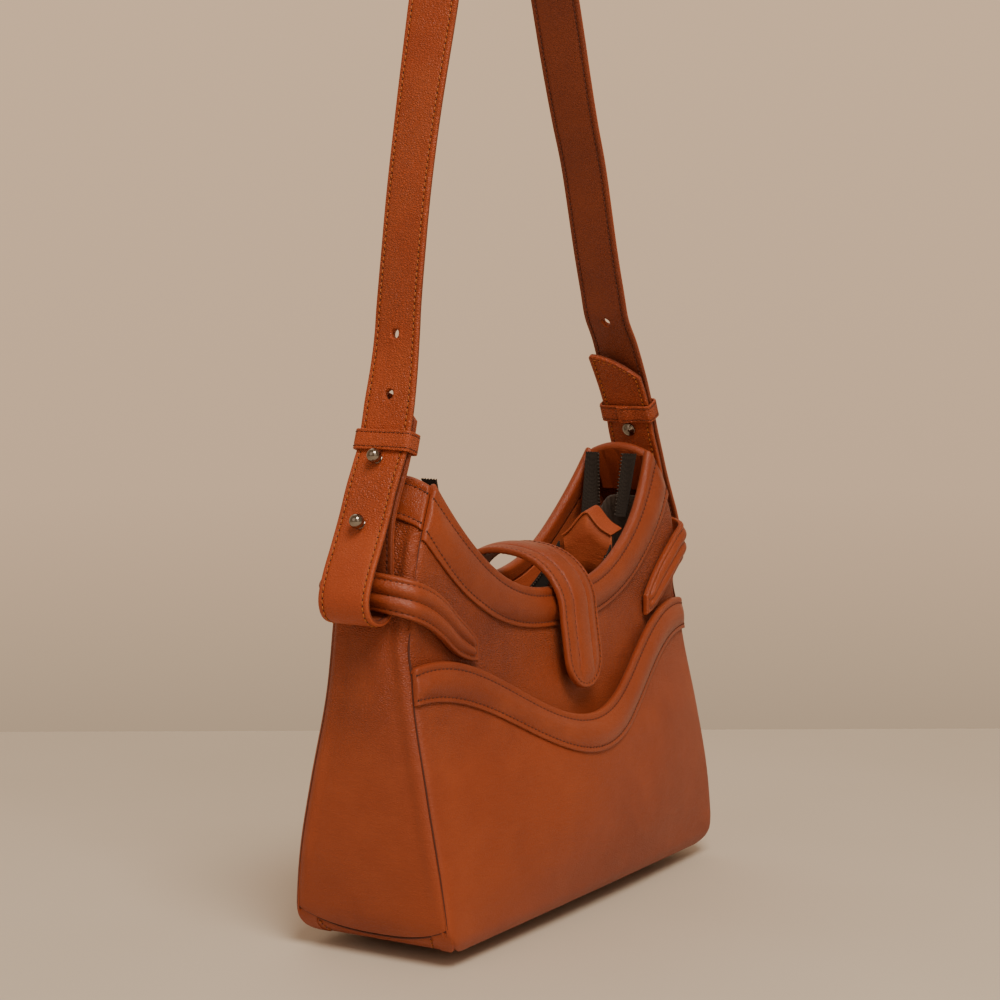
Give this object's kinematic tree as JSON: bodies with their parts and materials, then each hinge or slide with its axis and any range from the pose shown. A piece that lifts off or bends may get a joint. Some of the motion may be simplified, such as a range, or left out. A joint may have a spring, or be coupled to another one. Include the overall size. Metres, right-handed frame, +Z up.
{
  "type": "sling bag",
  "caption": "Leather sling bag on small metal feet, with a scooped mouth, padded bands, a front slip pocket, a closing tab and an adjustable shoulder strap.",
  "frame": {"origin": "on the ground, under the middle of the bag", "axes": "+X to the right-hand gusset seen from the front, -Y to the front, +Z up"},
  "size_m": [0.3465, 0.1192, 0.7099],
  "materials": {
    "grain_leather": "satin",
    "padded_leather": "satin",
    "strap_leather": "satin",
    "inner_leather": "matte",
    "lining_cloth": "matte",
    "zip_tape": "matte",
    "base_board": "matte",
    "nickel": "polished"
  },
  "bodies": {
    "bag": {"front_panel": "grain_leather", "back_panel": "grain_leather", "front_pocket": "grain_leather", "left_gusset": "grain_leather", "right_gusset": "grain_leather", "base_panel": "grain_leather", "pocket_band": "padded_leather", "mouth_band_front": "padded_leather", "mouth_band_back": "padded_leather", "left_horn_binding": "padded_leather", "right_horn_binding": "padded_leather", "left_side_loop": "padded_leather", "right_side_loop": "padded_leather", "tab_root": "padded_leather", "facing_front": "inner_leather", "facing_back": "inner_leather", "zip_placket_front": "inner_leather", "zip_placket_back": "inner_leather", "left_zip_patch": "inner_leather", "right_zip_patch": "inner_leather", "strap_left_end": "strap_leather", "strap_right_end": "strap_leather", "lining": "lining_cloth", "base_board": "base_board", "zip_tape_front": "zip_tape", "zip_tape_back": "zip_tape", "zip_tail_front_left": "zip_tape", "zip_tail_front_right": "zip_tape", "zip_tail_back_left": "zip_tape", "zip_tail_back_right": "zip_tape", "left_stud_1": "nickel", "left_stud_2": "nickel", "right_stud_1": "nickel", "right_stud_2": "nickel", "left_stud_screw_1": "nickel", "left_stud_screw_2": "nickel", "right_stud_screw_1": "nickel", "right_stud_screw_2": "nickel", "foot_front_left": "nickel", "foot_front_right": "nickel", "foot_back_left": "nickel", "foot_back_right": "nickel", "snap_socket": "nickel"},
    "strap": {"strap_arch": "strap_leather"},
    "tab": {"closure_tab": "padded_leather", "snap_stud": "nickel"},
    "left_keeper": {"left_keeper": "strap_leather"},
    "right_keeper": {"right_keeper": "strap_leather"},
    "zip_slider": {"zip_slider": "nickel"},
    "zip_pull": {"zip_pull": "nickel"}
  },
  "joints": [
    {"name": "strap_fold", "type": "hinge", "parent": "bag", "child": "strap", "pos_m": [-0.009, 0, 0.345], "axis": [1, 0, 0], "range_deg": [-115, 115]},
    {"name": "tab_lift", "type": "hinge", "parent": "bag", "child": "tab", "pos_m": [0, 0.03956, 0.16709], "axis": [-1, 0, 0], "range_deg": [0, 120]},
    {"name": "left_keeper_slide", "type": "slide", "parent": "bag", "child": "left_keeper", "axis": [0.32, 0, 0.9474], "range_m": [0, 0.004]},
    {"name": "right_keeper_slide", "type": "slide", "parent": "bag", "child": "right_keeper", "axis": [-0.408, 0, 0.913], "range_m": [0, 0.004]},
    {"name": "zip_run", "type": "slide", "parent": "bag", "child": "zip_slider", "axis": [1, 0, 0], "range_m": [0, 0.122]},
    {"name": "zip_pull_swing", "type": "hinge", "parent": "zip_slider", "child": "zip_pull", "pos_m": [-0.0611, 0, 0.189], "axis": [0, -1, 0], "range_deg": [0, 140]}
  ]
}
